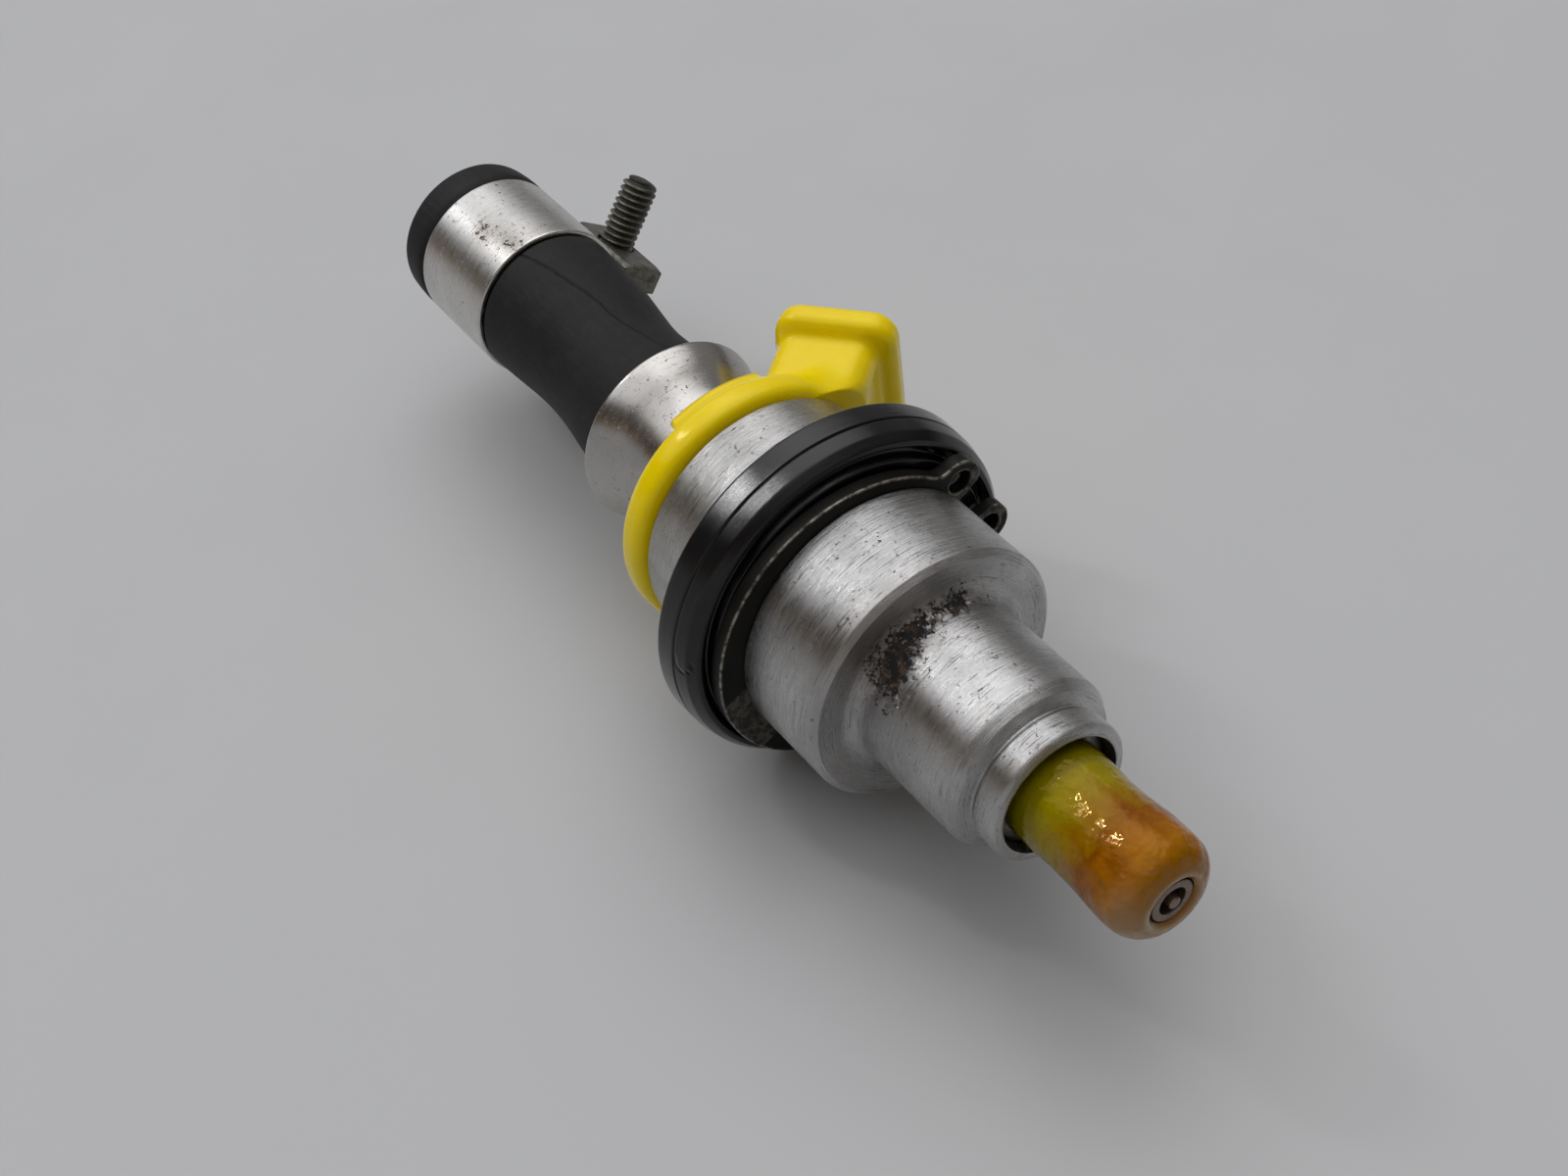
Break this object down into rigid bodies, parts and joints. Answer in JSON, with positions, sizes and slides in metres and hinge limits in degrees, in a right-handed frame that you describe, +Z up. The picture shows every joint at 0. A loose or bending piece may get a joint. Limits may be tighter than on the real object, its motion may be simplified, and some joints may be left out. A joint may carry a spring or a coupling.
{
  "type": "electromagnetic fuel injector",
  "caption": "Solenoid fuel injector with a steel body, amber nozzle cap, angled two-pin connector, insulator ring, retaining clip and a clamped stub of fuel hose.",
  "frame": {"origin": "on the spray axis, at the pintle's flat end face", "axes": "+X along the spray axis from the nozzle towards the hose; -Y towards the electrical connector; +Z up when the injector lies with its connector level"},
  "size_m": [0.0958, 0.0318, 0.0296],
  "materials": {
    "turned_steel": "circumferentially turned, stained and pitted near the shoulder",
    "polished_steel": "bright, finely polished, with brown heat tint",
    "clamp_steel": "smooth rolled strip, lightly stained",
    "black_oxide_steel": "black phosphate, worn bright on its edges",
    "dull_zinc": "dull, dirty zinc plate",
    "hose_rubber": "matte black with a moulding seam",
    "seal_rubber": "satin black",
    "glossy_black": "glossy black with scuffs",
    "yellow_plastic": "glossy moulded yellow",
    "amber_plastic": "translucent amber, olive at its root and cloudy at its end",
    "brown_plastic": "glass-filled moulding",
    "copper_wire": "enamelled copper wire",
    "tinned_brass": "tinned"
  },
  "bodies": {
    "injector": {"pintle_cap": "amber_plastic", "valve_body": "turned_steel", "stop_shim": "turned_steel", "valve_body_seal": "seal_rubber", "housing": "turned_steel", "return_spring": "polished_steel", "adjusting_sleeve": "turned_steel", "pole_core": "turned_steel", "coil_bobbin": "brown_plastic", "coil_winding": "copper_wire", "coil_seal_front": "seal_rubber", "coil_seal_rear": "seal_rubber", "terminal_a": "tinned_brass", "terminal_b": "tinned_brass", "inlet_filter": "brown_plastic", "hose_cup": "polished_steel", "fuel_hose": "hose_rubber", "connector_cover": "yellow_plastic"},
    "needle_valve": {"needle": "polished_steel", "armature": "turned_steel"},
    "retaining_clip": {"circlip": "black_oxide_steel"},
    "insulator": {"insulator_ring": "glossy_black"},
    "clamp": {"clamp_band": "clamp_steel"},
    "clamp_bolt": {"clamp_screw": "dull_zinc"},
    "clamp_nut_body": {"clamp_nut": "dull_zinc"}
  },
  "joints": [
    {"name": "needle_lift", "type": "slide", "parent": "injector", "child": "needle_valve", "axis": [1, 0, 0], "range_m": [0, 0.00012]},
    {"name": "clip_turn", "type": "hinge", "parent": "injector", "child": "retaining_clip", "pos_m": [0.0354, 0, 0], "axis": [1, 0, 0], "continuous": true},
    {"name": "insulator_turn", "type": "hinge", "parent": "injector", "child": "insulator", "pos_m": [0.0385, 0, 0], "axis": [1, 0, 0], "continuous": true},
    {"name": "clamp_turn", "type": "hinge", "parent": "injector", "child": "clamp", "pos_m": [0.0871, -0.00072, 0.00034], "axis": [1, 0, 0], "continuous": true},
    {"name": "screw_turn", "type": "hinge", "parent": "clamp", "child": "clamp_bolt", "pos_m": [0.0871, -0.00775, -0.00496], "axis": [0, 0.6018, -0.7986], "range_deg": [0, 1800]},
    {"name": "nut_travel", "type": "slide", "parent": "clamp", "child": "clamp_nut_body", "axis": [0, -0.6018, 0.7986], "range_m": [0, 0.003]}
  ],
  "couplings": [
    {"joint": "screw_turn", "follows": "nut_travel", "rad_per_m": 10471}
  ]
}
